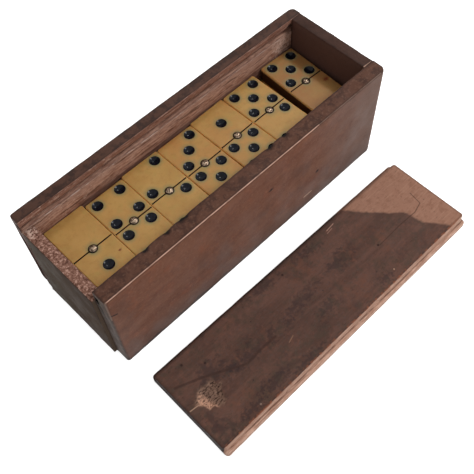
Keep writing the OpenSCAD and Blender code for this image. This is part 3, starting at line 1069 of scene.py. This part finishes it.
def resin():
    """The dominoes' polished honey-yellow, browner at their rubbed edges and grimy round the pips."""
    yellow = Surface("honey_resin")
    clouds, speck, tint = yellow.cloud(11, 4, 0.6), yellow.cloud(0.8, 3, 0.6), yellow.painted("tint")
    yellow.ground(yellow.ramp(clouds, 0.3, 0.7), (172, 134, 74), (184, 146, 84))
    yellow.tint((170, 116, 66), tint, yellow.ramp(yellow.cloud(16, 2, 0.5), 0.35, 0.6, 0.4, 1), 0.8)
    yellow.tint((162, 136, 74), yellow.ramp(yellow.cloud(6, 3, 0.6), 0.5, 0.7, 0, 0.4))
    yellow.tint((156, 112, 62), yellow.ramp(yellow.cloud(2.4, 4, 0.7), 0.48, 0.7, 0, 0.4))
    # The far domino, the only one with a tint of 0.85 or more, is painted darker as painted shade from the
    # far wall, and its lower sides darker still as painted shade in the gap beside it
    shaded_far_tile = yellow.ramp(tint, 0.85, 1)
    yellow.tint((112, 76, 46), shaded_far_tile, 0.4)
    yellow.tint((122, 118, 82), yellow.painted("halo"), yellow.ramp(clouds, 0.3, 0.7, 0.55, 0.8))
    for place, sizes in RESIN_STAINS:
        yellow.tint((112, 44, 20), yellow.blot(place, sizes, 0, 0.4), 0.9)
    rubbed = yellow.both(yellow.painted("edge"), yellow.ramp(speck, 0.3, 0.6, 0.6, 1))
    yellow.tint((168, 118, 64), yellow.ramp(rubbed, 0.2, 1, 0, 0.35))
    # Just under the face the sides are painted lighter, as painted light; lower down they are darker, with
    # grime and painted shade
    side = yellow.painted("side")
    yellow.tint((220, 176, 112), yellow.ramp(side, 0.2, 0.8, 0, 0.85))
    dirty = yellow.ramp(side, 1.05, 1.9, 0, 0.85)
    yellow.tint((98, 60, 34), dirty)
    yellow.tint((54, 24, 13), dirty, shaded_far_tile)
    roughness, normal = yellow.ramp(speck, 0.3, 0.7, 0.34, 0.5), yellow.bump(speck, 0.03, 0.25)
    glow = {"Subsurface_Weight": 0.2, "Subsurface_Scale": 0.0025}
    return yellow.finish(roughness, normal, Specular_IOR_Level=0.22, **glow)


def pip_black():
    pip = Surface("pip_black")
    speck = pip.cloud(0.8, 3, 0.6)
    pip.ground(pip.ramp(speck, 0.4, 0.7), (6, 8, 14), (18, 22, 34))
    roughness, normal = pip.ramp(speck, 0.3, 0.7, 0.16, 0.26), pip.bump(speck, 0.04, 0.3)
    return pip.finish(roughness, normal, Specular_IOR_Level=0.14)


def line_dirt():
    dirt = Surface("line_dirt")
    dirt.ground(dirt.ramp(dirt.cloud(1.1, 3, 0.6), 0.35, 0.7), (34, 24, 16), (58, 42, 26))
    return dirt.finish(0.7, Specular_IOR_Level=0.1)


def brass():
    """Rubbed brass, tarnished round the rim of the head."""
    metal = Surface("rubbed_brass")
    speck = metal.cloud(0.7, 3, 0.7)
    metal.ground(metal.ramp(speck, 0.42, 0.64), (74, 58, 46), (190, 166, 142))
    rim = metal.ramp(metal.painted("edge"), 0.05, 0.65)
    metal.tint((36, 27, 21), rim)
    roughness = metal.ramp(metal.math("ADD", metal.both(rim, 0.4), speck), 0.3, 1, 0.24, 0.6)
    return metal.finish(roughness, metal.bump(speck, 0.08, 0.5), Metallic=0.92)


# The object

def make_box():
    worn_corner = [((BACK_LOW.x, BACK_HIGH.y, 0), 4.5, 1.6)]
    places = [x + way * half * 0.5 for x, half in RIM_NICKS for way in (-1, 1)]
    nicks = [((x, FRONT_HIGH.y, BOX_H), 1.5, 0.4) for x in places]
    back = long_wall(BACK_HIGH.y - BACK_LOW.y, BACK_LOW.x, BACK_LOW.y, 1, 11, worn_corner)
    front = long_wall(FRONT_HIGH.y - FRONT_LOW.y, FRONT_LOW.x, FRONT_HIGH.y, -1, 23, nicks)
    low_end = end_wall(LOW_END_LOW, LOW_END_HIGH, -1, ARRIS_R, 31)
    high_end = end_wall(HIGH_END_LOW, HIGH_END_HIGH, 1, RIM_R, 43)
    for node, made, wood in (
        ("back_wall", back, back_wall_wood()),
        ("front_wall", front, front_wall_wood()),
        ("low_end_wall", low_end, low_end_wood()),
        ("high_end_wall", high_end, high_end_wood()),
        ("bottom_board", bottom_board(51), board_wood()),
    ):
        make_piece(f"{node}_wood", made, [wood], "box", [node])
    make_piece("lid_wood", lid(61), [lid_wood()], "lid", ["sliding_lid"])


def make_dominoes():
    """Every domino, with the turn and place that its CAD node has."""
    materials = [resin(), pip_black(), line_dirt()]
    metal = brass()
    top = {frozenset(pips): (pips, turn, tint) for pips, turn, tint in zip(TOP_PIPS, TOP_TURN, TOP_TINT)}
    pairs = [(a, b) for a in range(7) for b in range(a, 7)]
    for count, pair in enumerate(pairs):
        name = f"{pair[0]}_{pair[1]}"
        low, high = corners_of(f"domino_{name}")
        pips, turn, tint = top.get(frozenset(pair), (pair, 0, 0.2 + 0.5 * noise_at((count * 3.7, 0, 0), 1)))
        middle = (low + high) / 2
        place = Matrix.Translation((middle.x, middle.y, low.z)) @ Matrix.Rotation(math.radians(turn), 4, "Z")
        tile = domino(pips, tint, 70 + count)
        bmesh.ops.transform(tile, matrix=place, verts=tile.verts)
        make_piece(f"domino_{name}_resin", tile, materials, f"tile_{name}", [f"domino_{name}"])
        pin = spinner()
        bmesh.ops.transform(pin, matrix=place, verts=pin.verts)
        own_node = f"spinner_{name}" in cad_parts
        make_piece(
            f"spinner_{name}_brass", pin, [metal], f"tile_{name}", [f"spinner_{name}"] if own_node else []
        )


# The photographer's table, lamps and camera

# Where the camera stands, the point that it looks at, and its turn about that line
CAMERA_AT = Vector((-133.6, -163.5, 321.9))
LOOKS_AT = Vector((-10.5, -35.3, 20))
CAMERA_ROLL = -1.7
LENS = 54.49
SHIFT = (-0.0244, 0.0153)


def make_camera():
    data = bpy.data.cameras.new("camera")
    data.lens = LENS
    data.sensor_width = 36
    data.shift_x, data.shift_y = SHIFT
    data.clip_start = 0.01
    camera = put_in_scene("camera", data)
    look = (LOOKS_AT - CAMERA_AT).to_track_quat("-Z", "Y").to_matrix().to_4x4()
    roll = Matrix.Rotation(math.radians(CAMERA_ROLL), 4, "Z")
    camera.matrix_world = Matrix.Translation(CAMERA_AT * MM) @ look @ roll
    bpy.context.scene.camera = camera


def make_lamp(name, place, size, power):
    """A square soft lamp that faces the box."""
    data = bpy.data.lights.new(name, "AREA")
    data.shape = "SQUARE"
    data.size = size * MM
    data.energy = power
    lamp = put_in_scene(name, data)
    at = Vector(place)
    lamp.matrix_world = Matrix.Translation(at * MM) @ (-at).to_track_quat("-Z", "Y").to_matrix().to_4x4()


def seen_directly(tree):
    """1 for rays that the viewer sees, straight or by a mirror or glass, and 0 for the others."""
    path = tree.nodes.new("ShaderNodeLightPath")
    seen = path.outputs["Is Camera Ray"]
    for kind in ("Is Glossy Ray", "Is Transmission Ray"):
        either = tree.nodes.new("ShaderNodeMath")
        either.operation = "MAXIMUM"
        tree.links.new(seen, either.inputs[0])
        tree.links.new(path.outputs[kind], either.inputs[1])
        seen = either.outputs[0]
    return seen


def make_world(level):
    """White where it is seen, and a plain grey light at this level."""
    world = bpy.data.worlds.new("studio")
    world.use_nodes = True
    tree = world.node_tree
    strength = tree.nodes.new("ShaderNodeMapRange")
    tree.links.new(seen_directly(tree), strength.inputs["Value"])
    strength.inputs["To Min"].default_value = level
    strength.inputs["To Max"].default_value = 1
    background = tree.nodes["Background"]
    background.inputs["Color"].default_value = (1, 1, 1, 1)
    tree.links.new(strength.outputs["Result"], background.inputs["Strength"])
    bpy.context.scene.world = world


def make_floor():
    """A white table that keeps a faint shadow under the box."""
    made = bmesh.new()
    bmesh.ops.create_grid(made, x_segments=1, y_segments=1, size=3000)
    bmesh.ops.translate(made, vec=(0, 0, -0.05), verts=made.verts)
    white = Surface("white_table")
    white.colour = linear(225, 225, 225)
    glow = white.ramp(seen_directly(white.tree), 0, 1, 0, 0.8)
    white.put(white.shader.inputs["Emission Strength"], glow)
    white.finish(0.9, Emission_Color=(1, 1, 1, 1))
    put_in_scene("table", mesh_of("table", made, [white.material]))


def make_studio():
    make_camera()
    make_world(0.5)
    make_lamp("key", (546, -546, 919), 300, 6.1)
    make_lamp("glint", (600, 250, 1000), 90, 2.2)
    make_floor()
    bpy.context.scene.view_settings.view_transform = "Standard"


make_studio()
make_box()
make_dominoes()
